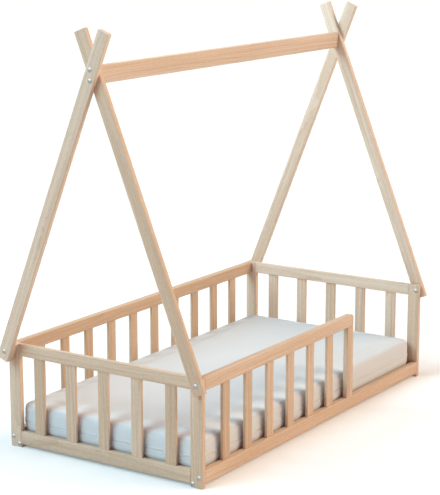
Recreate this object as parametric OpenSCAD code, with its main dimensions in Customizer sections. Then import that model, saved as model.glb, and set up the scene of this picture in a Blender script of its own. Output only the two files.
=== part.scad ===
// Child's teepee bed in solid wood: two end frames, a full back panel, a part-length guard,
// crossed poles at both ends with a ridge beam between them, a slatted base and a mattress.
// Millimetres. X runs along the bed, the open front faces -Y, and the floor is Z = 0 under the middle.

/* [Mattress] */
// Length of the mattress
mattress_l = 1400; // [1100:10:2000]
// Width of the mattress
mattress_w = 700; // [600:10:1000]
// Height of the mattress at its edges
mattress_h = 114; // [90:2:160]
// Extra height of the crown in the middle of the top
mattress_crown = 6; // [2:1:14]
// Radius of the upright corners of the mattress, seen from above
mattress_corner_r = 30; // [20:2:100]
// Roundness of the top and bottom edges
mattress_edge_r = 26; // [14:1:32]
// Height of the zip line above the underside of the mattress
mattress_zip = 50; // [44:1:56]
// Depth of the pinch along the zip line
mattress_pinch = 5; // [2:1:10]
// Gap between the mattress and each end frame
mattress_end_gap = 8; // [3:1:20]
// Gap between the mattress and each long side
mattress_side_gap = 3.5; // [2:0.5:15]

/* [End frames] */
// Height of the corner posts, the end rails and the long top rails above the floor
side_h = 350; // [300:5:450]
// Width of a corner post
post_w = 44; // [42:1:60]
// Thickness of the posts and end rails
board_t = 18; // [16:1:24]
// Height of the top rail of an end frame
end_rail_h = 40; // [36:1:60]
// Height of every bottom rail
bottom_rail_h = 44; // [38:1:60]
// Clearance under the bottom rails
floor_gap = 12; // [10:1:30]

/* [Long sides] */
// Thickness of the long rails
rail_t = 24; // [22:1:30]
// Height of the back top rail and the guard rail
top_rail_h = 42; // [34:1:60]
// Length of the guard rail
guard_l = 920; // [700:5:1000]
// Radius of the free upper corner of the guard rail
guard_corner_r = 12; // [4:1:18]
// Width of the post at the free end of the guard
guard_post_w = 40; // [36:1:60]
// Thickness of the post at the free end of the guard
guard_post_t = 18; // [16:1:20]

/* [Slats] */
// Width of an upright slat
slat_w = 40; // [30:1:50]
// Thickness of an upright slat
slat_t = 10; // [8:1:12]
// Length of a slat that is let into a rail at each end
slat_let_in = 12; // [8:1:16]
// Play on each side of a slat in its slot
slat_play = 0.2; // [0.1:0.05:0.4]
// Distance from a corner post to the middle of the first slat of an end frame
end_slat_start = 76; // [60:1:90]
// Distance from a corner post to the middle of the first slat of a long side
side_slat_start = 126; // [110:1:140]

/* [Poles and ridge] */
// Height of the point where the poles of one end cross
crossing_h = 1240; // [1000:5:1500]
// Width of a pole
pole_w = 42; // [34:1:50]
// Thickness of a pole
pole_t = 18; // [16:1:24]
// Length of a pole above the crossing
pole_above = 140; // [80:2:200]
// Length of a pole below the bolt in its foot
pole_below = 30; // [20:1:34]
// Height of the ridge beam
beam_h = 56; // [52:1:80]
// Thickness of the ridge beam
beam_t = 22; // [20:1:30]
// Distance between the two bolts in each end of the ridge beam
beam_bolt_gap = 33; // [26:1:36]
// Height of the crossing above the middle of the ridge beam
beam_drop = 2; // [0:1:8]

/* [Slatted base] */
// Width of a support batten
batten_w = 23; // [20:1:30]
// Height of a support batten
batten_h = 20; // [18:1:26]
// Height of the underside of the battens above the floor
batten_gap = 2; // [1:1:6]
// Width of a base slat
base_slat_w = 60; // [50:1:80]
// Thickness of a base slat
base_slat_t = 10; // [8:1:14]
// Distance from an end frame to the middle of the first base slat
base_slat_start = 50; // [45:1:70]

/* [Fasteners] */
// Thread diameter of the connector bolts
bolt_d = 6; // [5:0.5:7]
// Diameter of a bolt head and of the cap nut
head_d = 15; // [12:0.5:16]
// Height of a domed bolt head
head_h = 3.6; // [2.8:0.1:4.4]
// Width across flats of the hex socket
socket_w = 4; // [3:0.5:5]
// Outer diameter of a threaded insert
insert_d = 10; // [9:0.5:12]
// Length of a threaded insert
insert_l = 20; // [14:1:24]
// Play around a bolt in its hole
bolt_play = 0.25; // [0.15:0.05:0.5]
// Diameter of a dowel
dowel_d = 8; // [6:1:8]
// Length of a dowel
dowel_l = 40; // [30:1:40]
// Distance between the two dowels of a joint
dowel_gap = 20; // [16:1:22]
// Shank diameter of the screws in the base slats
screw_d = 3.5; // [3:0.5:4]
// Length of the screws in the base slats
screw_l = 25; // [20:1:26]

/* [Edges] */
// Radius of the eased edges of the posts, end rails and poles
board_edge_r = 2; // [1:0.5:3]
// Radius of the eased ends of the posts and poles
end_edge_r = 1.5; // [0.5:0.5:3]
// Radius of the eased edges of the long rails and the ridge beam
rail_edge_r = 3; // [1:0.5:4]
// Radius of the eased edges of the slats and battens
slat_edge_r = 1.5; // [1:0.5:3]

/* [Hidden] */
$fn = 48;
end_slat_count = 5;
back_slat_count = 10;
guard_slat_count = 6;
base_slat_count = 10;

// A cut starts and ends this far outside the material
cut = 1;
// Room beyond a slat's end in its slot, and beyond each end of a dowel and of the cap nut's sleeve
slot_end_gap = 1;
dowel_end_gap = 0.5;
sleeve_end_gap = 0.5;
// Play on each side of a dowel, a thread, a wood screw and the cap nut's sleeve
dowel_play = 0.1;
thread_play = 0.1;
screw_play = 0.2;
sleeve_play = 0.2;

// The frame around the mattress
bed_l = mattress_l + 2 * (mattress_end_gap + board_t);
bed_w = mattress_w + 2 * (mattress_side_gap + rail_t);
half_l = bed_l / 2;
half_w = bed_w / 2;
inner_half_l = half_l - board_t;
inner_half_w = half_w - rail_t;
end_rail_l = bed_w - 2 * post_w;
side_rail_l = 2 * inner_half_l;
end_frame_x = half_l - board_t / 2;
rail_y = half_w - rail_t / 2;

// Heights of the rails' middles, and of the open space between bottom and top rails
bottom_rail_z = floor_gap + bottom_rail_h / 2;
bottom_rail_top = floor_gap + bottom_rail_h;
end_rail_z = side_h - end_rail_h / 2;
top_rail_z = side_h - top_rail_h / 2;

// Even spacing of the slats, worked out from the first one at each end
end_slat_step = (end_rail_l - 2 * end_slat_start) / (end_slat_count - 1);
back_slat_step = (side_rail_l - 2 * side_slat_start) / (back_slat_count - 1);
base_slat_step = (side_rail_l - 2 * base_slat_start) / (base_slat_count - 1);

// The free end of the guard, which starts at the left front post
guard_end_x = guard_l - inner_half_l;
guard_post_x = guard_end_x - guard_post_w / 2;
guard_post_y = -half_w + guard_post_t / 2;
guard_slat_step = (guard_post_x + inner_half_l - side_slat_start) / guard_slat_count;

// A pole runs from the bolt in its foot, level with the top rail, through the crossing
pole_angle = atan(rail_y / (crossing_h - top_rail_z));
pole_down = (crossing_h - top_rail_z) / cos(pole_angle) + pole_below;
beam_z = crossing_h - beam_drop;

// The battens lie against the long rails, the base slats on the battens and the mattress on
// the base slats, with a hair's breadth under it because it lifts off
batten_y = inner_half_w - batten_w / 2;
batten_z = batten_gap + batten_h / 2;
base_z = batten_gap + batten_h;
base_slat_end_gap = 1;
base_slat_l = 2 * (inner_half_w - base_slat_end_gap);
mattress_rest_gap = 0.3;
mattress_pinch_h = 9;
mattress_crown_corner_r = 3;
mattress_z = base_z + base_slat_t + mattress_rest_gap;

// A bolt reaches a little past its insert, and its hole as far again past the bolt
bolt_past = 2;
bolt_reach = insert_l + bolt_past;
bolt_hole_d = bolt_d + 2 * bolt_play;
thread_d = bolt_d + 2 * thread_play;
head_rim = 0.8;
socket_depth = 2;

// The cap nut's sleeve leaves some wood under the pole, and the bolt in it stops short of the
// inner face of the post
sleeve_wall = 1.25;
sleeve_d = bolt_d + 2 * sleeve_wall;
sleeve_wood = 5;
sleeve_l = board_t - sleeve_wood;
bolt_short = 2;
cap_t = 0.5;

dowel_hole_d = dowel_d + 2 * dowel_play;
dowel_hole_l = dowel_l / 2 + dowel_end_gap;
screw_head_d = 2 * screw_d;
screw_head_h = screw_d / 2;
screw_hole_d = screw_d + 2 * screw_play;
screw_tip_d = 0.4;

// Places that repeat

function numbered(name, count) = [for (i = [1:count]) str(name, i)];
function end_slat_y(i) = -end_rail_l / 2 + end_slat_start + (i - 1) * end_slat_step;
function back_slat_x(i) = -inner_half_l + side_slat_start + (i - 1) * back_slat_step;
function guard_slat_x(i) = -inner_half_l + side_slat_start + (i - 1) * guard_slat_step;
function base_slat_x(i) = -inner_half_l + base_slat_start + (i - 1) * base_slat_step;
function dowel_pair(middle) = [middle - dowel_gap / 2, middle + dowel_gap / 2];
function ridge_levels() = [beam_z - beam_bolt_gap / 2, beam_z + beam_bolt_gap / 2];

// General shapes

// A rectangle with rounded corners, as true arcs
module eased_rect(w, h, r) {
    square([w - 2 * r, h], center = true);
    square([w, h - 2 * r], center = true);
    for (x = [-1, 1], y = [-1, 1])
        translate([x * (w / 2 - r), y * (h / 2 - r)]) circle(r);
}

// A board along X, centred, w thick in Y and h high in Z
module board_x(l, w, h, r) {
    rotate([90, 0, 90]) translate([0, 0, -l / 2]) linear_extrude(l) eased_rect(w, h, r);
}

// A board along Y, centred, w thick in X and h high in Z
module board_y(l, w, h, r) {
    rotate([90, 0, 0]) translate([0, 0, -l / 2]) linear_extrude(l) eased_rect(w, h, r);
}

// A board up Z from its lower end, w in X and h in Y
module board_z(l, w, h, r) {
    linear_extrude(l) eased_rect(w, h, r);
}

// The same board with its ends eased as well as its long edges, for one whose ends show
module free_board_z(l, w, h, r) {
    intersection() {
        board_z(l, w, h, r);
        translate([0, 0, l / 2]) rotate([90, 0, 0])
            linear_extrude(h + 2 * cut, center = true) eased_rect(w, l, end_edge_r);
        translate([0, 0, l / 2]) rotate([90, 0, 90])
            linear_extrude(w + 2 * cut, center = true) eased_rect(h, l, end_edge_r);
    }
}

// A round rod or hole along X from x = 0
module rod_x(d, l) {
    rotate([0, 90, 0]) cylinder(d = d, h = l);
}

// A round rod or hole along Y from y = 0, towards +Y or -Y
module rod_y(d, l, way) {
    rotate([-90 * way, 0, 0]) cylinder(d = d, h = l);
}

// The same thing at the left and the right end
module both_ends() {
    children();
    mirror([1, 0, 0]) children();
}

// The same thing on the back and the front side
module both_sides() {
    children();
    mirror([0, 1, 0]) children();
}

// Corner posts, drawn at the left back corner and mirrored to the others

module corner_post() {
    difference() {
        translate([-end_frame_x, half_w - post_w / 2, 0])
            free_board_z(side_h, board_t, post_w, board_edge_r);
        for (p = [[rail_y, bottom_rail_z], [batten_y, batten_z], [rail_y, top_rail_z]])
            translate([-half_l - cut, p[0], p[1]]) rod_x(bolt_hole_d, board_t + 2 * cut);
        for (z = concat(dowel_pair(end_rail_z), dowel_pair(bottom_rail_z)))
            translate([-end_frame_x, half_w - post_w - cut, z])
                rod_y(dowel_hole_d, dowel_hole_l + cut, 1);
    }
}

module left_front_post() {
    color("burlywood") mirror([0, 1, 0]) corner_post();
}

module left_back_post() {
    color("burlywood") corner_post();
}

// At the entrance no rail takes the pole's bolt, so the post is bored for a cap nut
module right_front_post() {
    color("burlywood") difference() {
        rotate([0, 0, 180]) corner_post();
        translate([inner_half_l - cut, -rail_y, top_rail_z])
            rod_x(sleeve_d + 2 * sleeve_play, sleeve_l + sleeve_end_gap + cut);
    }
}

module right_back_post() {
    color("burlywood") mirror([1, 0, 0]) corner_post();
}

// End frames: rails dowelled between the posts, with the slats let into both rails

// A slot for a slat's end, centred on the rail's face
module slat_slot(w, t) {
    linear_extrude(2 * (slat_let_in + slot_end_gap), center = true)
        square([w + 2 * slat_play, t + 2 * slat_play], center = true);
}

module end_rail(z, h, slotted_face) {
    color("burlywood") difference() {
        translate([-end_frame_x, 0, z]) board_y(end_rail_l, board_t, h, board_edge_r);
        for (i = [1:end_slat_count])
            translate([-end_frame_x, end_slat_y(i), slotted_face]) slat_slot(slat_t, slat_w);
        for (way = [-1, 1], level = dowel_pair(z))
            translate([-end_frame_x, -way * (end_rail_l / 2 + cut), level])
                rod_y(dowel_hole_d, dowel_hole_l + cut, way);
    }
}

module end_top_rail() {
    end_rail(end_rail_z, end_rail_h, side_h - end_rail_h);
}

module end_bottom_rail() {
    end_rail(bottom_rail_z, bottom_rail_h, bottom_rail_top);
}

// An upright slat between a bottom rail and a top rail with its underside at top
module slat(x, y, top, w, t) {
    color("burlywood") translate([x, y, bottom_rail_top - slat_let_in])
        board_z(top - bottom_rail_top + 2 * slat_let_in, w, t, slat_edge_r);
}

module end_slat(i) {
    slat(-end_frame_x, end_slat_y(i), side_h - end_rail_h, slat_t, slat_w);
}

// Long sides

// The insert's bore and the bolt's hole beyond it, in the left end of a board along X
module insert_bore(y, z) {
    translate([-inner_half_l, y, z]) {
        translate([-cut, 0, 0]) rod_x(insert_d, insert_l + cut);
        rod_x(bolt_hole_d, bolt_reach + bolt_past);
    }
}

module side_rail(y, z, h) {
    translate([0, y, z]) board_x(side_rail_l, rail_t, h, rail_edge_r);
}

module back_slots(z) {
    for (i = [1:back_slat_count]) translate([back_slat_x(i), rail_y, z]) slat_slot(slat_w, slat_t);
}

module back_top_rail() {
    color("burlywood") difference() {
        side_rail(rail_y, top_rail_z, top_rail_h);
        back_slots(side_h - top_rail_h);
        both_ends() insert_bore(rail_y, top_rail_z);
    }
}

module back_bottom_rail() {
    color("burlywood") difference() {
        side_rail(rail_y, bottom_rail_z, bottom_rail_h);
        back_slots(bottom_rail_top);
        both_ends() insert_bore(rail_y, bottom_rail_z);
    }
}

module back_slat(i) {
    slat(back_slat_x(i), rail_y, side_h - top_rail_h, slat_w, slat_t);
}

module guard_slots(z) {
    for (i = [1:guard_slat_count]) translate([guard_slat_x(i), -rail_y, z]) slat_slot(slat_w, slat_t);
}

// The dowel holes that the guard's post needs in the rail at height z
module guard_post_holes(z) {
    for (x = dowel_pair(guard_post_x))
        translate([x, guard_post_y, z]) cylinder(d = dowel_hole_d, h = 2 * dowel_hole_l, center = true);
}

module front_bottom_rail() {
    color("burlywood") difference() {
        side_rail(-rail_y, bottom_rail_z, bottom_rail_h);
        guard_slots(bottom_rail_top);
        guard_post_holes(bottom_rail_top);
        both_ends() insert_bore(-rail_y, bottom_rail_z);
    }
}

// Side view of the guard rail with its rounded free corner
module guard_outline() {
    square([guard_l - guard_corner_r, top_rail_h]);
    square([guard_l, top_rail_h - guard_corner_r]);
    translate([guard_l - guard_corner_r, top_rail_h - guard_corner_r]) circle(guard_corner_r);
}

module guard_rail() {
    color("burlywood") difference() {
        intersection() {
            side_rail(-rail_y, top_rail_z, top_rail_h);
            translate([-inner_half_l, -half_w + rail_t, side_h - top_rail_h])
                rotate([90, 0, 0]) linear_extrude(rail_t) guard_outline();
        }
        guard_slots(side_h - top_rail_h);
        guard_post_holes(side_h - top_rail_h);
        insert_bore(-rail_y, top_rail_z);
    }
}

module guard_slat(i) {
    slat(guard_slat_x(i), -rail_y, side_h - top_rail_h, slat_w, slat_t);
}

module guard_post() {
    color("burlywood") difference() {
        translate([guard_post_x, guard_post_y, bottom_rail_top])
            board_z(side_h - top_rail_h - bottom_rail_top, guard_post_w, guard_post_t, board_edge_r);
        guard_post_holes(bottom_rail_top);
        guard_post_holes(side_h - top_rail_h);
    }
}

// Crossed poles and ridge beam

// A pole at the left end. Its foot is at the back for way 1 and at the front for way -1, and
// layer counts outwards from the post
module pole_blank(way, layer) {
    translate([-half_l - (layer + 0.5) * pole_t, 0, crossing_h])
        rotate([way * pole_angle, 0, 0])
            translate([0, 0, -pole_down])
                free_board_z(pole_down + pole_above, pole_t, pole_w, board_edge_r);
}

// The hole for the bolt in a pole's foot
module foot_hole(way) {
    translate([-half_l - 2 * pole_t - cut, way * rail_y, top_rail_z])
        rod_x(bolt_hole_d, 2 * (pole_t + cut));
}

module pole(way, layer) {
    color("burlywood") difference() {
        pole_blank(way, layer);
        foot_hole(way);
        for (z = ridge_levels())
            translate([-half_l - 2 * pole_t - cut, 0, z]) rod_x(bolt_hole_d, 2 * (pole_t + cut));
    }
}

module front_pole() {
    pole(-1, 0);
}

module back_pole() {
    pole(1, 1);
}

// The packing behind the foot of the outer pole, cut level with the top of the post
module spacer() {
    color("burlywood") difference() {
        intersection() {
            pole_blank(1, 0);
            translate([-half_l - pole_t, 0, 0]) cube([pole_t, bed_w, side_h]);
        }
        foot_hole(1);
    }
}

module ridge_beam() {
    color("burlywood") difference() {
        translate([0, 0, beam_z]) board_x(bed_l, beam_t, beam_h, rail_edge_r);
        both_ends() for (z = ridge_levels()) translate([-board_t, 0, 0]) insert_bore(0, z);
    }
}

// Slatted base

module batten(way) {
    color("burlywood") difference() {
        translate([0, way * batten_y, batten_z]) board_x(side_rail_l, batten_w, batten_h, slat_edge_r);
        both_ends() insert_bore(way * batten_y, batten_z);
        for (i = [1:base_slat_count])
            translate([base_slat_x(i), way * batten_y, base_z + base_slat_t - screw_l])
                cylinder(d = screw_d, h = screw_l);
    }
}

module base_slats() {
    color("wheat") for (i = [1:base_slat_count])
        difference() {
            translate([base_slat_x(i), 0, base_z + base_slat_t / 2])
                board_y(base_slat_l, base_slat_w, base_slat_t, slat_edge_r);
            both_sides() translate([base_slat_x(i), batten_y, base_z]) {
                translate([0, 0, -cut]) cylinder(d = screw_hole_d, h = base_slat_t + 2 * cut);
                translate([0, 0, base_slat_t]) screw_head(2 * screw_play);
            }
        }
}

// A countersunk head with its top at z = 0, grown by a little for its seat
module screw_head(growth) {
    translate([0, 0, -screw_head_h])
        cylinder(d1 = screw_d + growth, d2 = screw_head_d + growth, h = screw_head_h);
}

module slat_screws() {
    color("silver") both_sides() for (i = [1:base_slat_count])
        translate([base_slat_x(i), batten_y, base_z + base_slat_t]) {
            screw_head(0);
            translate([0, 0, screw_d - screw_l])
                cylinder(d = screw_d, h = screw_l - screw_d - screw_head_h / 2);
            translate([0, 0, -screw_l]) cylinder(d1 = screw_tip_d, d2 = screw_d, h = screw_d);
        }
}

// Mattress: a rounded block, crowned on top and pinched along its zip line

function rounded_outline(inset) =
    let (r = max(mattress_corner_r - inset, mattress_crown_corner_r),
         x = mattress_l / 2 - inset - r,
         y = mattress_w / 2 - inset - r)
    [for (q = [0:3], a = [0:15:90])
        [(q == 0 || q == 3 ? x : -x) + r * cos(90 * q + a), (q < 2 ? y : -y) + r * sin(90 * q + a)]];

// How far the side stands in at height z, apart from the rounded edges
function side_inset(z) = mattress_pinch * exp(-pow((z - mattress_zip) / mattress_pinch_h, 2));

// Each ring is [inset, height], from the underside up the side and over the crown
edge_steps = [0:22.5:90];
mattress_rings = concat(
    [for (a = edge_steps) [mattress_edge_r * (1 - sin(a)), mattress_edge_r * (1 - cos(a))]],
    [for (d = [-15, -8, -4, 0, 4, 8, 15]) [side_inset(mattress_zip + d), mattress_zip + d]],
    [for (a = edge_steps)
        [mattress_edge_r * (1 - cos(a)), mattress_h - mattress_edge_r * (1 - sin(a))]],
    [for (t = [0.12, 0.28, 0.5, 0.75, 0.95])
        [mattress_edge_r + t * (mattress_w / 2 - mattress_edge_r),
         mattress_h + mattress_crown * (1 - pow(1 - t, 2))]]);

module mattress() {
    n = len(rounded_outline(0));
    last = len(mattress_rings) - 1;
    points = concat(
        [for (ring = mattress_rings, p = rounded_outline(ring[0])) [p[0], p[1], ring[1]]],
        [[0, 0, 0], [0, 0, mattress_h + mattress_crown]]);
    faces = concat(
        [for (k = [0:last - 1], i = [0:n - 1]) let (j = (i + 1) % n)
            each [[k * n + i, (k + 1) * n + j, k * n + j], [k * n + i, (k + 1) * n + i, (k + 1) * n + j]]],
        [for (i = [0:n - 1]) let (j = (i + 1) % n)
            each [[i, j, (last + 1) * n], [last * n + j, last * n + i, (last + 1) * n + 1]]]);
    color("whitesmoke") translate([0, 0, mattress_z]) polyhedron(points, faces);
}

// Fasteners

// A domed head in front of x = 0
module domed_head() {
    rise = head_h - head_rim;
    ball = (pow(head_d / 2, 2) + pow(rise, 2)) / (2 * rise);
    rotate([0, -90, 0]) rotate_extrude() {
        square([head_d / 2, head_rim]);
        intersection() {
            translate([0, head_h - ball]) circle(ball);
            square([head_d / 2, head_h]);
        }
    }
}

// A connector bolt along +X with the underside of its head at x = 0
module connector_bolt(reach) {
    difference() {
        union() {
            domed_head();
            rod_x(bolt_d, reach);
        }
        translate([-head_h - cut, 0, 0]) rotate([0, 90, 0])
            cylinder(d = socket_w / cos(30), h = socket_depth + cut, $fn = 6);
    }
}

module foot_bolts() {
    color("silver") both_ends() both_sides()
        for (p = [[rail_y, bottom_rail_z], [batten_y, batten_z]])
            translate([-half_l, p[0], p[1]]) connector_bolt(board_t + bolt_reach);
}

module ridge_bolts() {
    color("silver") both_ends() for (z = ridge_levels())
        translate([-half_l - 2 * pole_t, 0, z]) connector_bolt(2 * pole_t + bolt_reach);
}

module back_pole_bolts() {
    color("silver") both_ends() translate([-half_l - 2 * pole_t, rail_y, top_rail_z])
        connector_bolt(2 * pole_t + board_t + bolt_reach);
}

module guard_bolt() {
    color("silver") translate([-half_l - pole_t, -rail_y, top_rail_z])
        connector_bolt(pole_t + board_t + bolt_reach);
}

module entrance_bolt() {
    color("silver") mirror([1, 0, 0]) translate([-half_l - pole_t, -rail_y, top_rail_z])
        connector_bolt(pole_t + board_t - bolt_short);
}

// A cap nut with its sleeve in the post and its dome on the inner face
module cap_nut() {
    color("silver") translate([inner_half_l, -rail_y, top_rail_z]) {
        domed_head();
        difference() {
            rod_x(sleeve_d, sleeve_l);
            translate([cap_t, 0, 0]) rod_x(thread_d, sleeve_l);
        }
    }
}

// A threaded sleeve in the left end of a board whose end face is at x
module threaded_insert(x, y, z) {
    translate([x, y, z]) difference() {
        rod_x(insert_d, insert_l);
        translate([-cut, 0, 0]) rod_x(thread_d, insert_l + 2 * cut);
    }
}

module threaded_inserts() {
    color("goldenrod") {
        both_ends() {
            both_sides() {
                threaded_insert(-inner_half_l, rail_y, bottom_rail_z);
                threaded_insert(-inner_half_l, batten_y, batten_z);
            }
            threaded_insert(-inner_half_l, rail_y, top_rail_z);
            for (z = ridge_levels()) threaded_insert(-half_l, 0, z);
        }
        threaded_insert(-inner_half_l, -rail_y, top_rail_z);
    }
}

module dowels() {
    color("tan") {
        both_ends() both_sides()
            for (z = concat(dowel_pair(end_rail_z), dowel_pair(bottom_rail_z)))
                translate([-end_frame_x, end_rail_l / 2 - dowel_l / 2, z]) rod_y(dowel_d, dowel_l, 1);
        for (x = dowel_pair(guard_post_x), z = [bottom_rail_top, side_h - top_rail_h])
            translate([x, guard_post_y, z]) cylinder(d = dowel_d, h = dowel_l, center = true);
    }
}

left_front_post();
left_back_post();
right_front_post();
right_back_post();
end_top_rail();  // left_top_rail
end_bottom_rail();  // left_bottom_rail
mirror([1, 0, 0]) end_top_rail();  // right_top_rail
mirror([1, 0, 0]) end_bottom_rail();  // right_bottom_rail
for (i = [1:end_slat_count]) {
    end_slat(i);
    mirror([1, 0, 0]) end_slat(i);
}
back_top_rail();
back_bottom_rail();
for (i = [1:back_slat_count])
    back_slat(i);
front_bottom_rail();
guard_rail();
for (i = [1:guard_slat_count])
    guard_slat(i);
guard_post();
front_pole();  // left_front_pole
back_pole();  // left_back_pole
mirror([1, 0, 0]) front_pole();  // right_front_pole
mirror([1, 0, 0]) back_pole();  // right_back_pole
spacer();  // left_spacer
mirror([1, 0, 0]) spacer();  // right_spacer
ridge_beam();
batten(-1);  // front_batten
batten(1);  // back_batten
base_slats();
mattress();
foot_bolts();
ridge_bolts();
back_pole_bolts();
guard_bolt();
entrance_bolt();
cap_nut();
threaded_inserts();
dowels();
slat_screws();
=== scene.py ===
# %% [markdown]
# # A teepee bed, dressed for its picture
#
# The bed is a low child's bed in oiled beech. Two end frames, a back panel and a short guard stand
# round a mattress, and crossed poles at both ends carry a ridge beam. Its construction comes from a
# CAD model, which this lesson loads as a fixed frame. What is added here is the look: boards with
# eased edges and their own grain, a padded mattress with a zip round it, plain studio light, a floor
# and the camera.
#
# Everything is in metres. X runs along the bed, the open front faces -Y, and the floor is Z = 0.

# %% Load the frame
import math
import random

import bmesh
import bpy
import numpy as np
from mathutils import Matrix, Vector


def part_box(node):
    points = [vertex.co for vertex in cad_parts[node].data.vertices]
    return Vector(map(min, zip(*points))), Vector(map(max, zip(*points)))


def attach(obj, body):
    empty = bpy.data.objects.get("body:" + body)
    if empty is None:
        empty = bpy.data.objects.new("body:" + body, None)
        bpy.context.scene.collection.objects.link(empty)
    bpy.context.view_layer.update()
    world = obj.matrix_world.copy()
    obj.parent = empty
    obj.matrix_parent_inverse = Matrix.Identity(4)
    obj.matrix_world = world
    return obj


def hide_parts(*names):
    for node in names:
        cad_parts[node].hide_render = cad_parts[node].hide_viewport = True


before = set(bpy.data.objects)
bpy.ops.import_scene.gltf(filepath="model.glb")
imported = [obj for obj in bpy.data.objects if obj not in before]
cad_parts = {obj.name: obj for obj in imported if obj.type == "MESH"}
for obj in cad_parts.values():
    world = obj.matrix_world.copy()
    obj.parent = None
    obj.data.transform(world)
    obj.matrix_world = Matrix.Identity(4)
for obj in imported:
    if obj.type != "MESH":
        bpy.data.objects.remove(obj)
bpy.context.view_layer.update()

# %% [markdown]
# ## The camera
#
# The photograph was taken from beyond the left front corner, from higher up than the ridge beam and
# through a long lens, so the bed's length hardly tapers. The place, the direction and the focal
# length were worked out from corners and edges of the bed in the picture. The picture is 440 by 495,
# so with Blender's automatic fit the sensor's width lies along the picture's height.

# %% Camera
CAMERA_PLACE = Vector((-4.63589, -3.01654, 1.76314))
CAMERA_AZIMUTH, CAMERA_ELEVATION = math.radians(-56.63), math.radians(12.10)
FOCAL_PIXELS, PICTURE_HEIGHT = 1643.04, 495
SENSOR = 36

camera = bpy.data.objects.new("camera", bpy.data.cameras.new("camera"))
bpy.context.scene.collection.objects.link(camera)
camera.data.sensor_width = SENSOR
camera.data.lens = SENSOR * FOCAL_PIXELS / PICTURE_HEIGHT
back = Vector((math.sin(CAMERA_AZIMUTH) * math.cos(CAMERA_ELEVATION),
               -math.cos(CAMERA_AZIMUTH) * math.cos(CAMERA_ELEVATION),
               math.sin(CAMERA_ELEVATION)))
camera.location = CAMERA_PLACE
camera.rotation_mode = "QUATERNION"
camera.rotation_quaternion = (-back).to_track_quat("-Z", "Y")
bpy.context.scene.camera = camera
bpy.context.scene.view_settings.view_transform = "Standard"
print("Lens:", round(camera.data.lens, 2), "mm")

# %% [markdown]
# ## The lamps
#
# In the picture the end frames look cool and the long sides warm, because one soft light comes from
# the left and another from the right of the camera. Two suns with a very wide angle do the same: a
# sun lights every board alike however far it is, and a wide angle gives the soft edge of a studio
# window. Area lamps could do it too, but they'd fade along the bed.
#
# The third lamp is an area lamp for that very reason. It hangs close over the back side, and lights
# the middle of the mattress more than the ends of the bed.

# %% Hang the lamps
SUNS = (("window_light", (-0.66, 0.44, 0.70), (0.63, 1.0, 1.13), 2.28, 42),
        ("lamp_light", (0.47, -0.70, 0.58), (1.21, 1.0, 0.735), 1.97, 38))
BOX_PLACE, BOX_TOWARDS = (-0.3, 0.65, 1.75), (-0.65, 0.70, 1.55)
BOX_COLOUR, BOX_WATTS, BOX_SIZE = (0.85, 1.0, 1.08), 7.5, 1.0


def hang_lamp(name, kind, towards, colour, strength):
    """A lamp that shines from the direction towards it."""
    lamp = bpy.data.lights.new(name, kind)
    lamp.color, lamp.energy = colour, strength
    hung = bpy.data.objects.new(name, lamp)
    bpy.context.scene.collection.objects.link(hung)
    hung.rotation_mode = "QUATERNION"
    hung.rotation_quaternion = Vector(towards).to_track_quat("Z", "Y")
    return hung


for name, towards, colour, strength, angle in SUNS:
    sun = hang_lamp(name, "SUN", towards, colour, strength)
    sun.data.angle = math.radians(angle)
far_box = hang_lamp("far_box", "AREA", BOX_TOWARDS, BOX_COLOUR, BOX_WATTS)
far_box.location = BOX_PLACE
far_box.data.shape, far_box.data.size = "SQUARE", BOX_SIZE

# %% [markdown]
# ## Helpers for node graphs
#
# The world, the floor and every finish are graphs of nodes. A few short helpers keep their text
# readable. `feed` gives an input a link or a plain value, `add_node` adds a node with its settings,
# and `mix_colour`, `calculate`, `calculate_vector` and `scaled` add the sums that come up again and
# again. A Mix node has its inputs and its output for colours at the places that the MIX names give.

# %% Node helpers
MIX_FACTOR, MIX_FIRST, MIX_SECOND, MIX_RESULT = 0, 6, 7, 2


def feed(tree, socket, value):
    """Links the input to value where that is an output, and sets it to value otherwise."""
    if isinstance(value, bpy.types.NodeSocket):
        tree.links.new(value, socket)
    else:
        socket.default_value = value


def add_node(tree, kind, settings=None, **values):
    """A new node. settings are its own properties, values its inputs by name, _ standing for a space."""
    made = tree.nodes.new(kind)
    for key, value in (settings or {}).items():
        setattr(made, key, value)
    for key, value in values.items():
        feed(tree, made.inputs[key.replace("_", " ")], value)
    return made


def mix_colour(tree, factor, first, second):
    """The colour between first and second, as an output."""
    made = add_node(tree, "ShaderNodeMix", {"data_type": "RGBA"})
    for place, value in ((MIX_FACTOR, factor), (MIX_FIRST, first), (MIX_SECOND, second)):
        feed(tree, made.inputs[place], value)
    return made.outputs[MIX_RESULT]


def calculate(tree, operation, *values, kind="ShaderNodeMath"):
    """The result of one sum with numbers, as an output."""
    made = add_node(tree, kind, {"operation": operation})
    for socket, value in zip(made.inputs, values):
        feed(tree, socket, value)
    return made.outputs[0]


def calculate_vector(tree, operation, *values):
    """The result of one sum with vectors, as an output."""
    return calculate(tree, operation, *values, kind="ShaderNodeVectorMath")


def scaled(tree, vector, scale):
    """The vector with each part multiplied, as an output."""
    return calculate_vector(tree, "MULTIPLY", vector, scale)

# %% [markdown]
# A finish starts from an empty graph with its output, and mostly from a Principled shader too. What
# is the same all over the surface is set on the shader itself, and only what varies is linked.

# %% Material helpers


def blank_material(name):
    """A material with an empty graph, and the input that its surface goes into."""
    material = bpy.data.materials.new(name)
    material.use_nodes = True
    tree = material.node_tree
    tree.nodes.clear()
    surface = add_node(tree, "ShaderNodeOutputMaterial").inputs["Surface"]
    return material, tree, surface


def new_material(name, **values):
    """A material with a Principled shader. values are set on the shader's own sockets."""
    material, tree, surface = blank_material(name)
    shader = add_node(tree, "ShaderNodeBsdfPrincipled", **values)
    feed(tree, surface, shader.outputs[0])
    return material, tree, shader


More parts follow.
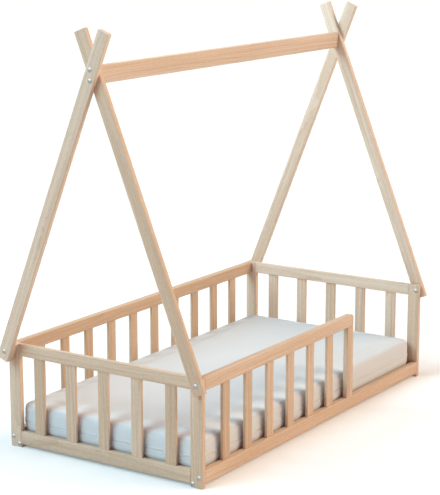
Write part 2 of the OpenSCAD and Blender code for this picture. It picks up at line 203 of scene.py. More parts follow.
def add_relief(tree, shader, height, strength, distance):
    """A bump on the shader, as deep as distance in metres."""
    bump = add_node(tree, "ShaderNodeBump", Height=height, Strength=strength, Distance=distance)
    feed(tree, shader.inputs["Normal"], bump.outputs["Normal"])

# %% [markdown]
# ## The world
#
# Round the bed is a white studio. If the world itself were white, it would light the bed from all
# sides and wash out its shading. So it gives only a faint warm fill, as pale walls do, and looks white
# just to the camera and in reflections, which the Light Path node tells apart.

# %% World
FILL_COLOUR, WHITE = (0.22, 0.115, 0.12, 1), (1, 1, 1, 1)

world = bpy.data.worlds.new("studio")
bpy.context.scene.world = world
world.use_nodes = True
sky = world.node_tree
sky.nodes.clear()
ray = add_node(sky, "ShaderNodeLightPath")
seen = calculate(sky, "MAXIMUM", ray.outputs["Is Camera Ray"], ray.outputs["Is Glossy Ray"])
seen = calculate(sky, "MAXIMUM", seen, ray.outputs["Is Transmission Ray"])
backdrop = add_node(sky, "ShaderNodeBackground", Color=mix_colour(sky, seen, FILL_COLOUR, WHITE))
add_node(sky, "ShaderNodeOutputWorld", Surface=backdrop.outputs[0])
print("World:", len(sky.nodes), "nodes")

# %% [markdown]
# ## The floor
#
# The bed stands on a white floor that melts into the backdrop, so only a faint shadow shows round
# its feet. A large plane takes that shadow. For the camera alone, a part of the floor's brightness is
# a glow of its own, which lifts it to white without putting more light on the bed.

# %% Floor
FLOOR_SIZE = 240
FLOOR_WHITE = (0.85, 0.85, 0.85, 1)
FLOOR_GLOW, GLOW_STRENGTH = (0.95, 1.05, 1.05, 1), 0.23

bpy.ops.mesh.primitive_plane_add(size=FLOOR_SIZE, location=(0, 0, 0))
floor = bpy.context.active_object
floor.name = "floor"
floor_paint, tree, surface = blank_material("white_floor")
paint = add_node(tree, "ShaderNodeBsdfDiffuse", Color=FLOOR_WHITE)
glow = add_node(tree, "ShaderNodeEmission", Color=FLOOR_GLOW, Strength=GLOW_STRENGTH)
both = add_node(tree, "ShaderNodeAddShader")
feed(tree, both.inputs[0], paint.outputs[0])
feed(tree, both.inputs[1], glow.outputs[0])
ray = add_node(tree, "ShaderNodeLightPath")
camera_only = add_node(tree, "ShaderNodeMixShader", Fac=ray.outputs["Is Camera Ray"])
feed(tree, camera_only.inputs[1], paint.outputs[0])
feed(tree, camera_only.inputs[2], both.outputs[0])
feed(tree, surface, camera_only.outputs[0])
floor.data.materials.append(floor_paint)
print("Floor:", FLOOR_SIZE, "m wide")

# %% [markdown]
# ## Oiled beech
#
# Beech is an even, pinkish tan. Close up it has faint growth rings a few millimetres apart, fine
# fibres along the board and thousands of short darker flecks, the rays. From a step away, soft
# streaks along the board are what the eye sees. Each board was cut from another place of another
# trunk, so no two match.
#
# A flat stripe pattern would look printed on and would break at the edges. The grain is a solid
# pattern in a board's own coordinates instead: x along the grain, y and z across it, with the heart of
# the trunk along x. The rings are then rings in every board, and show as lines on its faces and as
# arcs on its ends. The group takes those coordinates and a tone, so that boards with their own
# attribute and plain CAD pieces can both use it.

# %% The grain group and its sockets
GRAIN_SOCKETS = (("Along", "NodeSocketVector", "INPUT"), ("Tone", "NodeSocketFloat", "INPUT"),
                 ("Colour", "NodeSocketColor", "OUTPUT"), ("Roughness", "NodeSocketFloat", "OUTPUT"),
                 ("Height", "NodeSocketFloat", "OUTPUT"))

grain_group = graph = bpy.data.node_groups.new("beech_grain", "ShaderNodeTree")
for name, kind, way in GRAIN_SOCKETS:
    graph.interface.new_socket(name, in_out=way, socket_type=kind)
given = add_node(graph, "NodeGroupInput")
result = add_node(graph, "NodeGroupOutput")
straight = given.outputs["Along"]
print("Grain sockets:", [name for name, kind, way in GRAIN_SOCKETS])

# %% [markdown]
# No trunk is quite straight, so the coordinates are bent a little, by slow noise, before the rings
# and streaks are drawn. A saw wave gives a ring its pale start and its dark, sharp end.

# %% Bend the trunk and draw its rings
BEND_SCALE, BEND_SIZE = (1.3, 7, 7), 0.03
RING_SCALE = 62.0
RING_SHARPNESS = 3.0
RING_WAVE = {"wave_type": "RINGS", "rings_direction": "X", "wave_profile": "SAW"}

wander = add_node(graph, "ShaderNodeTexNoise", Vector=scaled(graph, straight, BEND_SCALE),
                  Scale=1.0, Detail=2.0, Roughness=0.4)
sideways = calculate_vector(graph, "MULTIPLY_ADD", wander.outputs["Color"], (0, BEND_SIZE, BEND_SIZE),
                            (0, -BEND_SIZE / 2, -BEND_SIZE / 2))
bent = calculate_vector(graph, "ADD", straight, sideways)
rings = add_node(graph, "ShaderNodeTexWave", RING_WAVE, Vector=bent, Scale=RING_SCALE,
                 Distortion=1.2, Detail=2.0, Detail_Scale=0.6)
ring_lines = calculate(graph, "POWER", rings.outputs["Fac"], RING_SHARPNESS)
print("Trunk bent by up to", BEND_SIZE / 2, "m")

# %% [markdown]
# The rest of the figure is noise that is stretched along the board, each kind with its own size:
# streaks a finger wide, fibres as thin as a thread, broad clouds, rays a few millimetres long, and
# flecks as long as a fingernail, where the saw crossed the rays at a slant. Only the highest peaks of
# the ray noise count, so the rays stay single dashes.

# %% Streaks, fibres, clouds, rays and flecks
STREAK_SCALE, FIBRE_SCALE, CLOUD_SCALE = (1.4, 95, 95), (14, 1100, 1100), (2.2, 9, 9)
RAY_SCALE, FLECK_SCALE = (210, 1900, 1900), (75, 330, 330)
RAY_START, RAY_FULL = 0.60, 0.70


def stretched_noise(vector, scale, detail, roughness=0.5):
    """Noise that is stretched by the scale, from 0 to 1."""
    made = add_node(graph, "ShaderNodeTexNoise", Vector=scaled(graph, vector, scale),
                    Scale=1.0, Detail=detail, Roughness=roughness)
    return made.outputs["Fac"]


streaks = stretched_noise(bent, STREAK_SCALE, detail=3.0, roughness=0.6)
fibres = stretched_noise(straight, FIBRE_SCALE, detail=2.0, roughness=0.6)
clouds = stretched_noise(straight, CLOUD_SCALE, detail=1.0)
flecks = stretched_noise(straight, FLECK_SCALE, detail=1.0)
ray_peaks = add_node(graph, "ShaderNodeMapRange", {"interpolation_type": "SMOOTHSTEP"},
                     Value=stretched_noise(straight, RAY_SCALE, detail=0.0),
                     From_Min=RAY_START, From_Max=RAY_FULL)
rays = ray_peaks.outputs[0]
print("Grain group:", len(graph.nodes), "nodes so far")

# %% [markdown]
# All the patterns are added up to one number, how dark the wood is at a place, and that picks the
# colour between pale, middling and dark beech. Doing it this way keeps every colour on the board a
# beech colour, which mixing five tints wouldn't.

# %% From the patterns to the wood's colour
DEPTH_SHARES = ((streaks, 0.80), (flecks, 0.30), (ring_lines, 0.20), (fibres, 0.22), (clouds, 0.25),
                (given.outputs["Tone"], 0.5))
DEPTH_START = -0.695
PALE_BEECH, DARK_BEECH = (0.84, 0.665, 0.528, 1), (0.465, 0.302, 0.194, 1)
MIDDLING_BEECH, MIDDLING_PLACE = (0.628, 0.443, 0.304, 1), 0.5
RAY_BROWN, RAY_SHARE = (0.40, 0.245, 0.15, 1), 0.28

depth = DEPTH_START
for pattern, share in DEPTH_SHARES:
    depth = calculate(graph, "MULTIPLY_ADD", pattern, share, depth)
wood = add_node(graph, "ShaderNodeValToRGB", Fac=depth)
ramp = wood.color_ramp.elements
ramp[0].color, ramp[1].color = PALE_BEECH, DARK_BEECH
ramp.new(MIDDLING_PLACE).color = MIDDLING_BEECH
marked = mix_colour(graph, calculate(graph, "MULTIPLY", rays, RAY_SHARE), wood.outputs["Color"], RAY_BROWN)
feed(graph, result.inputs["Colour"], marked)
print("Colours from", PALE_BEECH[:3], "to", DARK_BEECH[:3])

# %% [markdown]
# Oil soaks into the darker, looser streaks, so they shine a little less. Under a fingertip the fibres
# and the late wood of each ring stand up, and the rays lie lower.

# %% The wood's shine and relief
SMOOTH_WOOD, STREAK_ROUGHNESS = 0.42, 0.16
RING_RELIEF, RAY_RELIEF = 0.3, 0.5

feed(graph, result.inputs["Roughness"],
     calculate(graph, "MULTIPLY_ADD", streaks, STREAK_ROUGHNESS, SMOOTH_WOOD))
raised = calculate(graph, "MULTIPLY_ADD", ring_lines, RING_RELIEF, fibres)
sunk = calculate(graph, "MULTIPLY", rays, RAY_RELIEF)
feed(graph, result.inputs["Height"], calculate(graph, "SUBTRACT", raised, sunk))
print("Grain group:", len(graph.nodes), "nodes")

# %% [markdown]
# The bed's boards carry two attributes that are made with them: `grain`, the board's own coordinates, and
# `tone`, how dark the board is as a whole, which on the right end also holds painted light. The faces of the
# eased edges have a third one, `eased`, because hands and sandpaper leave an edge a little paler and
# smoother than the face.

# %% Beech for the boards
HANDLED_BEECH, HANDLED_SHARE = (0.80, 0.60, 0.42, 1), 0.08
HANDLED_ROUGHNESS = -0.08
WOOD_RELIEF = 0.0004


def add_grain(tree, along, tone):
    """The grain group in this graph, fed with coordinates and a tone."""
    return add_node(tree, "ShaderNodeGroup", {"node_tree": grain_group}, Along=along, Tone=tone)


beech, tree, shader = new_material("oiled_beech", Specular_IOR_Level=0.35)
grain_at, tone_at, eased_at = [add_node(tree, "ShaderNodeAttribute", {"attribute_name": name})
                               for name in ("grain", "tone", "eased")]
grain = add_grain(tree, grain_at.outputs["Vector"], tone_at.outputs["Fac"])
eased_share = calculate(tree, "MULTIPLY", eased_at.outputs["Fac"], HANDLED_SHARE)
feed(tree, shader.inputs["Base Color"],
     mix_colour(tree, eased_share, grain.outputs["Colour"], HANDLED_BEECH))
feed(tree, shader.inputs["Roughness"],
     calculate(tree, "MULTIPLY_ADD", eased_at.outputs["Fac"], HANDLED_ROUGHNESS, grain.outputs["Roughness"]))
add_relief(tree, shader, grain.outputs["Height"], strength=0.35, distance=WOOD_RELIEF)
print("Beech:", len(tree.nodes), "nodes")

# %% [markdown]
# The battens, the base slats and the dowels keep their CAD shape. They are planed softwood or
# dowel rod, hidden by the mattress and the boards, and their grain reads the place in the bed
# instead. A slat runs across the bed, so its coordinates are turned. Raw softwood is yellower than
# beech and has no oil on it, so a tint goes over the grain and the shine is low.

# %% Wood for the CAD pieces
QUARTER_TURN = math.radians(90)
PIECE_PLACE = (0.3, 0.021, 0.055)
TINT_SHARE = 0.45


def plain_wood(name, turn, tone, tint):
    """Untreated wood for a CAD piece, its grain turned to run along the piece."""
    material, tree, shader = new_material(name, Roughness=0.62, Specular_IOR_Level=0.3)
    place = add_node(tree, "ShaderNodeTexCoord")
    turned = add_node(tree, "ShaderNodeMapping", Vector=place.outputs["Object"], Rotation=(0, 0, turn),
                      Location=PIECE_PLACE)
    grain = add_grain(tree, turned.outputs[0], tone)
    feed(tree, shader.inputs["Base Color"], mix_colour(tree, TINT_SHARE, grain.outputs["Colour"], tint))
    add_relief(tree, shader, grain.outputs["Height"], strength=0.4, distance=WOOD_RELIEF)
    return material


def finish_node(node, material):
    """A CAD piece keeps its shape and gets this material in all its slots."""
    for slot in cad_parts[node].material_slots:
        slot.link = "OBJECT"
        slot.material = material
    print(node, "finished in", material.name)


batten_wood = plain_wood("planed_batten", turn=0, tone=0.35, tint=(0.74, 0.58, 0.38, 1))
slat_wood = plain_wood("planed_slat", turn=QUARTER_TURN, tone=0.30, tint=(0.76, 0.61, 0.41, 1))
dowel_wood = plain_wood("dowel_rod", turn=QUARTER_TURN, tone=0.7, tint=(0.60, 0.43, 0.27, 1))
for node, material in (("front_batten", batten_wood), ("back_batten", batten_wood),
                       ("base_slats", slat_wood), ("dowels", dowel_wood)):
    finish_node(node, material)

# %% [markdown]
# ## Fittings
#
# The bolt heads are bright zinc, with the fine turning marks that a domed head has and a slightly
# cloudy shine. The inserts in the boards' ends are brass. Both are the same graph with another
# colour: one noise clouds the colour and the roughness together. A finer one changes fastest along
# the bolt, so it draws rings round it, which are the turning marks.

# %% Zinc and brass
METAL_CLOUDS, CLOUD_DEPTH, CLOUD_ROUGHNESS = 260.0, 0.72, 0.25
TURNING_MARKS = (9000, 500, 500)
ZINC_GREY, BRASS_YELLOW = (0.55, 0.53, 0.51), (0.80, 0.60, 0.28)


def turned_metal(name, colour, roughness):
    """A plated, turned metal: cloudy shine and fine marks."""
    material, tree, shader = new_material(name, Metallic=1.0)
    place = add_node(tree, "ShaderNodeTexCoord").outputs["Object"]
    cloud = add_node(tree, "ShaderNodeTexNoise", Vector=place, Scale=METAL_CLOUDS, Detail=3.0)
    marks = add_node(tree, "ShaderNodeTexNoise", Vector=scaled(tree, place, TURNING_MARKS),
                     Scale=1.0, Detail=1.0)
    clouded = tuple(CLOUD_DEPTH * c for c in colour) + (1,)
    feed(tree, shader.inputs["Base Color"],
         mix_colour(tree, cloud.outputs["Fac"], clouded, colour + (1,)))
    feed(tree, shader.inputs["Roughness"],
         calculate(tree, "MULTIPLY_ADD", cloud.outputs["Fac"], CLOUD_ROUGHNESS, roughness))
    add_relief(tree, shader, marks.outputs["Fac"], strength=0.15, distance=0.0001)
    return material


zinc = turned_metal("bright_zinc", ZINC_GREY, roughness=0.40)
brass = turned_metal("plain_brass", BRASS_YELLOW, roughness=0.25)
for node in ("foot_bolts", "ridge_bolts", "back_pole_bolts", "guard_bolt", "entrance_bolt", "cap_nut",
             "slat_screws"):
    finish_node(node, zinc)
finish_node("threaded_inserts", brass)

# %% [markdown]
# ## Boards
#
# Every visible board is a plank with eased edges. It starts as a block at the size and place of its
# CAD node. Its long edges are rounded by the same radius as the CAD board's, and where an end is free,
# as at the top of a post, the end's edges are rounded too. An end that butts against another board is
# only broken with fine paper before the parts go together. The break is under a millimetre, and it
# leaves the thin dark line that shows where two boards meet.
#
# Edges are picked by a test that is given each edge, so the same helper rounds long edges, ends and
# single corners. A Bevel modifier would round all of them alike.

# %% Helpers for shaping
PARALLEL = 0.999
SHARP = math.radians(50)
X, Y, Z = Vector((1, 0, 0)), Vector((0, 1, 0)), Vector((0, 0, 1))


def only(piece):
    """Nothing but this piece is selected, and it is the active one."""
    bpy.ops.object.select_all(action="DESELECT")
    piece.select_set(True)
    bpy.context.view_layer.objects.active = piece


def new_block(name, centre, size):
    """A block of this size, with its place in its mesh."""
    bpy.ops.object.select_all(action="DESELECT")
    bpy.ops.mesh.primitive_cube_add(size=1, location=centre)
    piece = bpy.context.active_object
    piece.name = piece.data.name = name
    piece.scale = size
    bpy.ops.object.transform_apply(location=True, rotation=True, scale=True)
    return piece


def round_edges(piece, chosen, radius, segments=3):
    """Rounds the edges that chosen picks. It is given a BMesh edge."""
    only(piece)
    bpy.ops.object.mode_set(mode="EDIT")
    bpy.ops.mesh.select_mode(type="EDGE")
    bpy.ops.mesh.select_all(action="DESELECT")
    edit = bmesh.from_edit_mesh(piece.data)
    for edge in edit.edges:
        edge.select_set(chosen(edge))
    bmesh.update_edit_mesh(piece.data)
    bpy.ops.mesh.bevel(offset=radius, offset_type="OFFSET", segments=segments, profile=0.5,
                       affect="EDGES", clamp_overlap=True)
    bpy.ops.object.mode_set(mode="OBJECT")


def runs_along(axis):
    """A test for edges parallel to the axis."""
    def test(edge):
        way = (edge.verts[1].co - edge.verts[0].co).normalized()
        return abs(way.dot(axis)) > PARALLEL
    return test


def is_sharp(edge):
    """A test for edges that are still sharp."""
    return len(edge.link_faces) == 2 and edge.calc_face_angle() > SHARP

# %% [markdown]
# A board's attributes are written while its direction is known. The heart of the trunk lies at a
# place beside the board that its name decides, so the same board always looks the same.
#
# Its tone comes from its name too: 0.5 is a middling board, and more is darker. In the picture some boards
# are plainly paler or browner than that draw makes them, such as the whole right end or the slats of the
# guard. Their shifts are listed by how a name begins, and those that match are added. The shifts for the
# right end are painted light: they make its boards paler, as if more light fell on the far end.

# %% Tones
# The shifts for names that begin with right are painted light: a paler far end, as if more light fell on it.
TONE_AND_LIGHT_SHIFTS = {"right": -0.25, "right_back_pole": -0.45, "right_front_pole": -0.50, "right_slat": 0.1,
               "left_top_rail": 0.33, "left_bottom_rail": 0.2, "left_back_pole": -0.36,
               "left_front_post": 0.12, "left_back_post": -0.15, "left_slat_1": 0.35, "left_slat_2": -0.28,
               "left_slat_3": 0.1, "left_slat_4": 0.17, "left_slat_5": 0.4, "back_top_rail": 0.42,
               "back_slat": 0.3, "front_bottom_rail": 0.05, "ridge_beam": -0.12, "guard_post": -0.1,
               "guard_slat": 0.2, "guard_slat_2": 0.25, "guard_slat_3": 0.15, "guard_slat_4": -0.1,
               "guard_slat_5": -0.1, "guard_slat_6": -0.45}
MIDDLING_TONE, TONE_SPREAD = 0.5, 0.12


def draw_tone_and_light(name, chance):
    """How dark the board of this name is, from 0 to 1, with painted light on the right end."""
    shift = sum(shift for start, shift in TONE_AND_LIGHT_SHIFTS.items() if name.startswith(start))
    return min(1.0, max(0.0, chance.gauss(MIDDLING_TONE, TONE_SPREAD) + shift))


print("Tone shifts:", len(TONE_AND_LIGHT_SHIFTS))

# %% [markdown]
# A point's grain coordinates are its place from the board's centre, measured along the board, across
# it and through it, plus the heart's place. A face that looks in none of these three directions
# belongs to an eased edge.

# %% Write a board's grain
HEART_ALONG, HEART_ASIDE, HEART_NEAR, HEART_FAR = 9, 0.05, 0.03, 0.11
FLAT = 0.999


def read_points(piece, what="co"):
    """The places of a mesh's points, or their normals, a row each."""
    values = np.empty(len(piece.data.vertices) * 3)
    piece.data.vertices.foreach_get(what, values)
    return values.reshape(-1, 3)


def write_grain(piece, centre, along, across):
    """The board's own coordinates, its tone and its eased faces, as attributes."""
    chance = random.Random(piece.name)
    heart = Vector((chance.uniform(0, HEART_ALONG), chance.uniform(-HEART_ASIDE, HEART_ASIDE),
                    chance.choice((-1, 1)) * chance.uniform(HEART_NEAR, HEART_FAR)))
    tone = draw_tone_and_light(piece.name, chance)
    axes = np.array((along, across, along.cross(across))).T
    own = (read_points(piece) - np.array(centre)) @ axes + np.array(heart)
    tones = np.full(len(own), tone)
    normals = np.empty(len(piece.data.polygons) * 3)
    piece.data.polygons.foreach_get("normal", normals)
    eased = (np.abs(normals.reshape(-1, 3) @ axes).max(axis=1) < FLAT).astype(float)
    for name, kind, where, what, values in (("grain", "FLOAT_VECTOR", "POINT", "vector", own.ravel()),
                                            ("tone", "FLOAT", "POINT", "value", tones),
                                            ("eased", "FLOAT", "FACE", "value", eased)):
        piece.data.attributes.new(name, kind, where).data.foreach_set(what, values)

# %% [markdown]
# A finished board stands for its CAD node, which is hidden but stays for collision. It rides on the bed
# and is finished in beech.

# %% Make one straight board
SMOOTH_BELOW = math.radians(40)
FREE_END_EDGE, JOINT_EDGE = 0.0015, 0.0009


def hand_over(piece, node):
    """The piece stands for its CAD node, in beech, and moves with the bed."""
    piece.data.materials.clear()
    piece.data.materials.append(beech)
    only(piece)
    bpy.ops.object.shade_smooth_by_angle(angle=SMOOTH_BELOW)
    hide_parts(node)
    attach(piece, "bed")


def straight_board(node, along, across, edge_radius, free_ends=False):
    """A board for an upright or level CAD node."""
    low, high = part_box(node)
    centre = (low + high) / 2
    piece = new_block(node + "_board", centre, high - low)
    round_edges(piece, runs_along(along), edge_radius)
    if free_ends:
        round_edges(piece, is_sharp, FREE_END_EDGE, segments=2)
    else:
        round_edges(piece, is_sharp, JOINT_EDGE, segments=1)
    write_grain(piece, centre, along, across)
    hand_over(piece, node)

# %% [markdown]
# The end frames: posts and slats stand upright, and the short rails run across the bed. The long
# sides: rails along the bed with upright slats between them. A slat of an end frame shows its width
# across the bed and one of a long side along it, so the two differ in which way their width lies.

# %% Posts, rails and slats
POST_EDGE, RAIL_EDGE, SLAT_EDGE = 0.002, 0.003, 0.0015
END_SLATS, BACK_SLATS, GUARD_SLATS = 5, 10, 6

for node in ("left_front_post", "left_back_post", "right_front_post", "right_back_post"):
    straight_board(node, Z, Y, POST_EDGE, free_ends=True)
for node in ("left_top_rail", "left_bottom_rail", "right_top_rail", "right_bottom_rail"):
    straight_board(node, Y, Z, POST_EDGE)
for end in ("left", "right"):
    for number in range(1, END_SLATS + 1):
        straight_board(f"{end}_slat_{number}", Z, Y, SLAT_EDGE)
for node in ("back_top_rail", "back_bottom_rail", "front_bottom_rail", "ridge_beam"):
    straight_board(node, X, Z, RAIL_EDGE)
for number in range(1, BACK_SLATS + 1):
    straight_board(f"back_slat_{number}", Z, X, SLAT_EDGE)
for number in range(1, GUARD_SLATS + 1):
    straight_board(f"guard_slat_{number}", Z, X, SLAT_EDGE)
straight_board("guard_post", Z, X, POST_EDGE)

# %% [markdown]
# ## The guard rail
#
# The guard's rail ends in the open, where a child climbs in, so its upper corner is rounded off. On
# the block that is one more bevel: first the single upper edge at the free end, by the corner's
# radius, and then all the edges that are still sharp, apart from those of the end that butts against
# the post.

# %% Guard rail
GUARD_CORNER, CORNER_STEPS = 0.012, 6
NEAR_ENOUGH = 1e-5

low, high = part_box("guard_rail")
centre = (low + high) / 2


def is_free_corner(edge):
    """The upper edge at the guard rail's free end."""
    return all(v.co.x > high.x - NEAR_ENOUGH and v.co.z > high.z - NEAR_ENOUGH for v in edge.verts)


def is_open_edge(edge):
    """A sharp edge that isn't round the end at the post."""
    return is_sharp(edge) and not all(v.co.x < low.x + NEAR_ENOUGH for v in edge.verts)


guard = new_block("guard_rail_board", centre, high - low)
round_edges(guard, is_free_corner, GUARD_CORNER, segments=CORNER_STEPS)
round_edges(guard, is_open_edge, RAIL_EDGE)
write_grain(guard, centre, X, Z)
hand_over(guard, "guard_rail")
print("Guard rail:", len(guard.data.polygons), "faces")

# %% [markdown]
# ## Poles and spacers
#
# A pole leans from the bolt in its foot to the crossing under the ridge. It is made upright at the
# origin, leaned by the angle that its foot and the crossing give, and moved to its layer: the front
# pole lies against the post, the back pole outside it.

# %% Make one pole's blank
POLE_WIDTH, POLE_THICK = 0.042, 0.018
CROSSING, FOOT_BOLT, FOOT_OUT = 1.240, 0.329, 0.3655
POLE_ABOVE, POLE_BELOW = 0.140, 0.030
END_FACE = abs(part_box("left_front_post")[0].x)
lean = math.atan2(FOOT_OUT, CROSSING - FOOT_BOLT)
below = math.hypot(FOOT_OUT, CROSSING - FOOT_BOLT) + POLE_BELOW


def leaning_board(name, end, side, layer):
    """A pole's blank at the end -1 or 1, its foot at the side -1 or 1, and its own directions."""
    top = Vector((end * (END_FACE + (layer + 0.5) * POLE_THICK), 0, CROSSING))
    piece = new_block(name, (0, 0, (POLE_ABOVE - below) / 2), (POLE_THICK, POLE_WIDTH, POLE_ABOVE + below))
    round_edges(piece, runs_along(Z), POST_EDGE)
    round_edges(piece, is_sharp, FREE_END_EDGE, segments=2)
    piece.rotation_euler = (side * lean, 0, 0)
    piece.location = top
    bpy.ops.object.transform_apply(location=True, rotation=True, scale=True)
    along = Vector((0, -side * math.sin(lean), math.cos(lean)))
    across = Vector((0, math.cos(lean), side * math.sin(lean)))
    return piece, top, along, across


print("Lean:", round(math.degrees(lean), 2), "degrees; length:", round(below + POLE_ABOVE, 4), "m")

# %% [markdown]
# Each end has two poles: one with its foot on the front post, in the inner layer, and one with its
# foot on the back post, in the outer layer. They are the same board, turned the other way.

# %% Make the poles
ENDS = ((-1, "left"), (1, "right"))

for end, end_name in ENDS:
    for side, layer, side_name in ((-1, 0, "front"), (1, 1, "back")):
        node = f"{end_name}_{side_name}_pole"
        pole, top, along, across = leaning_board(node + "_board", end, side, layer)
        write_grain(pole, top, along, across)
        hand_over(pole, node)

# %% [markdown]
# Behind the back pole's foot a spacer fills the front pole's layer, so that the bolt can pull the
# pole tight. A carpenter would take it from the same board and saw it level with the top of the post.
# It is made so here: a blank like the front layer's pole, leaning like the back one, is bisected at
# that height and its upper part dropped.

# %% Saw the spacers off
for end, end_name in ENDS:
    node = f"{end_name}_spacer"
    spacer, top, along, across = leaning_board(node + "_board", end, 1, 0)
    only(spacer)
    bpy.ops.object.mode_set(mode="EDIT")
    bpy.ops.mesh.select_all(action="SELECT")
    bpy.ops.mesh.bisect(plane_co=(0, 0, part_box(node)[1].z), plane_no=(0, 0, 1), use_fill=True,
                        clear_outer=True)
    bpy.ops.object.mode_set(mode="OBJECT")
    write_grain(spacer, top, along, across)
    hand_over(spacer, node)
    print(node, len(spacer.data.polygons), "faces")

# %% [markdown]
# ## The mattress
#
# The mattress is a firm foam block in a stretched cover. Its top is a little crowned, its corners are
# round, its lower rim is rounder than its upper one, and a zip runs round its sides below the middle,
# where the cover is drawn in between two seams. A cloth simulation makes that form as the real one
# comes about: the cover is a closed skin under pressure, held along the zip and underneath, so it
# swells everywhere else. The swelling is capped, because the foam is firm.
#
# The block starts a few millimetres smaller than its CAD node, to leave room for the swelling.

# %% Block under the cover
ZIP_ABOVE = 0.050
SLACK = 0.004
CORNER_RADIUS, LOWER_RIM, UPPER_RIM = 0.030, 0.032, 0.020
WIDE_STEPS, UPPER_STEPS = 8, 6

low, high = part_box("mattress")
centre, size = (low + high) / 2, high - low
zip_height = low.z + ZIP_ABOVE
cover = new_block("mattress_cover", centre - SLACK / 2 * Z,
                  (size.x - 2 * SLACK, size.y - 2 * SLACK, size.z - SLACK))
round_edges(cover, runs_along(Z), CORNER_RADIUS, segments=WIDE_STEPS)
round_edges(cover, lambda edge: is_sharp(edge) and edge.verts[0].co.z < centre.z, LOWER_RIM,
            segments=WIDE_STEPS)
round_edges(cover, is_sharp, UPPER_RIM, segments=UPPER_STEPS)
print("Block:", [round(v, 3) for v in cover.dimensions])

# %% [markdown]
# A skin can only swell evenly if its points lie evenly, so the block is remeshed on a grid. One row
# of points on the sides is the zip. That row and the underside are held.

# %% Remesh, and hold the zip line and the underside
VOXEL, QUICK_VOXEL = 0.010, 0.016
ROW_REACH, UNDERSIDE = 0.0015, 0.012

remesh = cover.modifiers.new("remesh", "REMESH")
remesh.mode = "VOXEL"
remesh.voxel_size = VOXEL
only(cover)
bpy.ops.object.modifier_apply(modifier=remesh.name)
places = read_points(cover)
rows = np.unique(np.round(places[:, 2], 3))
zip_row = rows[np.argmin(abs(rows - zip_height))]
holds = (abs(places[:, 2] - zip_row) < ROW_REACH) | (places[:, 2] < low.z + UNDERSIDE)
held = cover.vertex_groups.new(name="held")
for index in np.nonzero(holds)[0]:
    held.add([int(index)], 1.0, "REPLACE")
print("Cover:", len(places), "points, held:", int(holds.sum()), "zip row at", round(float(zip_row), 4))

# %% [markdown]
# The simulation runs for twenty steps without gravity and is applied. Each point then keeps only its
# outward move, and no more of it than the cap.

# %% Swell the cover
PRESSURE, STIFFNESS, BENDING = 4.0, 12, 0.6
STEPS, SWELL_CAP = 20, 0.0065


def write_points(piece, places):
    """Moves a mesh's points to these places."""
    piece.data.vertices.foreach_set("co", places.ravel())
    piece.data.update()


facing = read_points(cover, "normal")
cloth = cover.modifiers.new("swell", "CLOTH")
cloth.settings.quality = 4
cloth.settings.use_pressure = True
cloth.settings.uniform_pressure_force = PRESSURE
cloth.settings.tension_stiffness = STIFFNESS
cloth.settings.compression_stiffness = STIFFNESS
cloth.settings.bending_stiffness = BENDING
cloth.settings.effector_weights.gravity = 0
cloth.settings.vertex_group_mass = held.name
cloth.collision_settings.use_self_collision = False
for step in range(1, STEPS + 1):
    bpy.context.scene.frame_set(step)
only(cover)
bpy.ops.object.modifier_apply(modifier=cloth.name)
bpy.context.scene.frame_set(1)
outward = ((read_points(cover) - places) * facing).sum(axis=1)
write_points(cover, places + facing * np.clip(outward, 0, SWELL_CAP)[:, None])
print("Swelling: up to", round(float(outward.max()), 4), "m, capped at", SWELL_CAP)

# %% [markdown]
# One subdivision smooths the skin. It is then fitted to the foam block of the CAD model, which it has
# to cover: it stands a few millimetres proud of the block at the ends and less at the long sides,
# where the frame is close, and its top and underside are level with the block's.

# %% Smooth, and fit to the block
PROUD = (0.0045, 0.0015, 0.0)

smooth = cover.modifiers.new("smooth", "SUBSURF")
smooth.levels = smooth.render_levels = 1
only(cover)
bpy.ops.object.modifier_apply(modifier=smooth.name)
places = read_points(cover)
for axis, proud in enumerate(PROUD):
    least, most = places[:, axis].min(), places[:, axis].max()
    stretch = (high[axis] - low[axis] + 2 * proud) / (most - least)
    places[:, axis] = low[axis] - proud + (places[:, axis] - least) * stretch
write_points(cover, places)
print("Cover:", [round(float(v), 4) for v in np.ptp(places, axis=0)])

# %% [markdown]
# The cover is a fine white knit. Its courses are far smaller than the picture shows, so they are a
# bump with only a trace of colour, and broad soft shading stands for the places where the knit is
# stretched or slack.

# %% Knitted cover
KNIT_COURSES, KNIT_FUZZ, KNIT_SLACK = 160.0, 1500.0, 7.0
SLACK_SHARE, FUZZ_SHARE, FUZZ_RELIEF = 0.6, 0.4, 0.5
KNIT_WHITE, KNIT_GREY = (0.70, 0.717, 0.73, 1), (0.645, 0.662, 0.676, 1)
DIAGONAL_WAVE = {"wave_type": "BANDS", "bands_direction": "DIAGONAL"}

knit, tree, shader = new_material("white_knit", Roughness=0.92, Specular_IOR_Level=0.15,
                                  Sheen_Weight=0.08, Sheen_Roughness=0.5)
place = add_node(tree, "ShaderNodeTexCoord").outputs["Object"]
courses = add_node(tree, "ShaderNodeTexWave", DIAGONAL_WAVE, Vector=place, Scale=KNIT_COURSES,
                   Distortion=2.5, Detail=1.0, Detail_Scale=8.0)
fuzz = add_node(tree, "ShaderNodeTexNoise", Vector=place, Scale=KNIT_FUZZ, Detail=2.0).outputs["Fac"]
slack = add_node(tree, "ShaderNodeTexNoise", Vector=place, Scale=KNIT_SLACK, Detail=2.0).outputs["Fac"]
shade = calculate(tree, "MULTIPLY_ADD", slack, SLACK_SHARE, calculate(tree, "MULTIPLY", fuzz, FUZZ_SHARE))
feed(tree, shader.inputs["Base Color"], mix_colour(tree, shade, KNIT_WHITE, KNIT_GREY))
height = calculate(tree, "MULTIPLY_ADD", fuzz, FUZZ_RELIEF, courses.outputs["Fac"])
add_relief(tree, shader, height, strength=0.25, distance=0.0005)
print("Knit:", len(tree.nodes), "nodes")
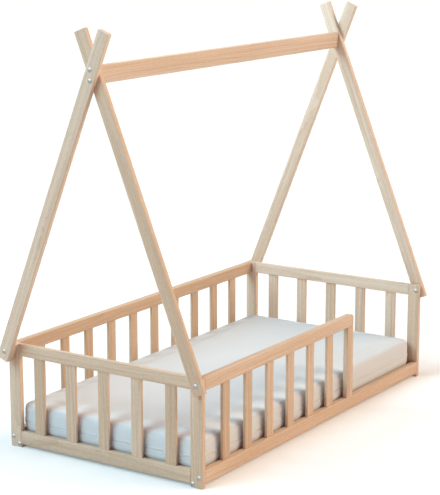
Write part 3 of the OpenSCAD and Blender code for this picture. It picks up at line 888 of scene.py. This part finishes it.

# %% [markdown]
# ## The zip and its seams
#
# The zip shows as fine lines round the mattress: a piped seam above it, the zip's grey coil, and a plainer
# seam below. The coil is partly painted shade: its grey stands for the shadow in the crease under the piped
# seam. The piping is a paler white than the cover, partly as a painted highlight on the seam's welt. Each is
# a thin cord that has to follow the swollen cover exactly. So the cover is copied, cut by a level plane, and
# the outline that is left becomes a curve with a round section.
#
# A coil and a piping are both ribbed across, one coarsely and one finely. The ribs give both the relief and
# the colour, and the darker colour in the grooves between them is painted shade. Diagonal bands cross all
# four sides at the same slant, which a band along one axis wouldn't: it would run along two of them. At a
# scale of 1 such bands repeat every 0.628 m, and a larger scale brings them closer together.

# %% Ribbed cords
WAVE_LENGTH = 0.628
LINT = 1200.0
LINT_SHARE, RIB_SHADE_SHARE = 0.4, 0.6


def ribbed_cord(name, ridge, groove_shade, pitch, roughness):
    """A cord's finish with ribs of this pitch, in metres, across it, and painted shade in the grooves
    between them.
    """
    material, tree, shader = new_material(name, Roughness=roughness)
    place = add_node(tree, "ShaderNodeTexCoord").outputs["Object"]
    ribs = add_node(tree, "ShaderNodeTexWave", DIAGONAL_WAVE, Vector=place, Scale=WAVE_LENGTH / pitch)
    lint = add_node(tree, "ShaderNodeTexNoise", Vector=place, Scale=LINT, Detail=2.0)
    # The ribs pick the darker colour in their grooves: painted shade.
    shade = calculate(tree, "MULTIPLY_ADD", lint.outputs["Fac"], LINT_SHARE,
                      calculate(tree, "MULTIPLY", ribs.outputs["Fac"], RIB_SHADE_SHARE))
    feed(tree, shader.inputs["Base Color"], mix_colour(tree, shade, groove_shade, ridge))
    add_relief(tree, shader, ribs.outputs["Fac"], strength=0.5, distance=0.0004)
    return material


# The coil's grey is partly painted shade, the shadow in the crease under the piped seam, and the piping's
# paler white is partly a painted highlight on the seam.
zip_grey = ribbed_cord("zip_grey", ridge=(0.74, 0.745, 0.75, 1), groove_shade=(0.58, 0.585, 0.59, 1),
                       pitch=0.0016, roughness=0.55)
piping_and_highlight = ribbed_cord("white_piping", ridge=(0.77, 0.775, 0.78, 1), groove_shade=(0.70, 0.705, 0.71, 1),
                     pitch=0.0009, roughness=0.8)
print("Cords:", zip_grey.name, piping_and_highlight.name)

# %% [markdown]
# The three cords lie close together. Their heights are measured from the height that the zip was
# given, and the piped seam is the thickest, because the picture shows it best.

# %% Seams round the cover
SEAMS = (("piped_seam", 0.0075, 0.0022, piping_and_highlight), ("zip_coil", 0.0035, 0.0013, zip_grey),
         ("lower_seam", -0.0020, 0.0018, piping_and_highlight))


def seam(name, height, radius, material):
    """A thin cord round the cover, along the cover's own outline at this height."""
    only(cover)
    bpy.ops.object.duplicate()
    cord = bpy.context.active_object
    cord.name = cord.data.name = name
    bpy.ops.object.mode_set(mode="EDIT")
    bpy.ops.mesh.select_all(action="SELECT")
    bpy.ops.mesh.bisect(plane_co=(0, 0, height), plane_no=(0, 0, 1), clear_inner=True, clear_outer=True)
    bpy.ops.object.mode_set(mode="OBJECT")
    bpy.ops.object.convert(target="CURVE")
    cord.data.bevel_depth, cord.data.bevel_resolution = radius, 1
    bpy.ops.object.convert(target="MESH")
    cord.data.materials.clear()
    cord.data.materials.append(material)
    bpy.ops.object.shade_smooth()
    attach(cord, "mattress")
    print(name, len(cord.data.polygons), "faces")


for name, above_zip, radius, material in SEAMS:
    seam(name, zip_height + above_zip, radius, material)

# %% [markdown]
# The cover gets its knit last, after the cords were cut from it. It stands for the CAD model's mattress and
# lifts out with it.

# %% Finish the cover
cover.data.materials.clear()
cover.data.materials.append(knit)
only(cover)
bpy.ops.object.shade_smooth()
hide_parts("mattress")
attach(cover, "mattress")
print("Mattress cover:", len(cover.data.polygons), "faces")
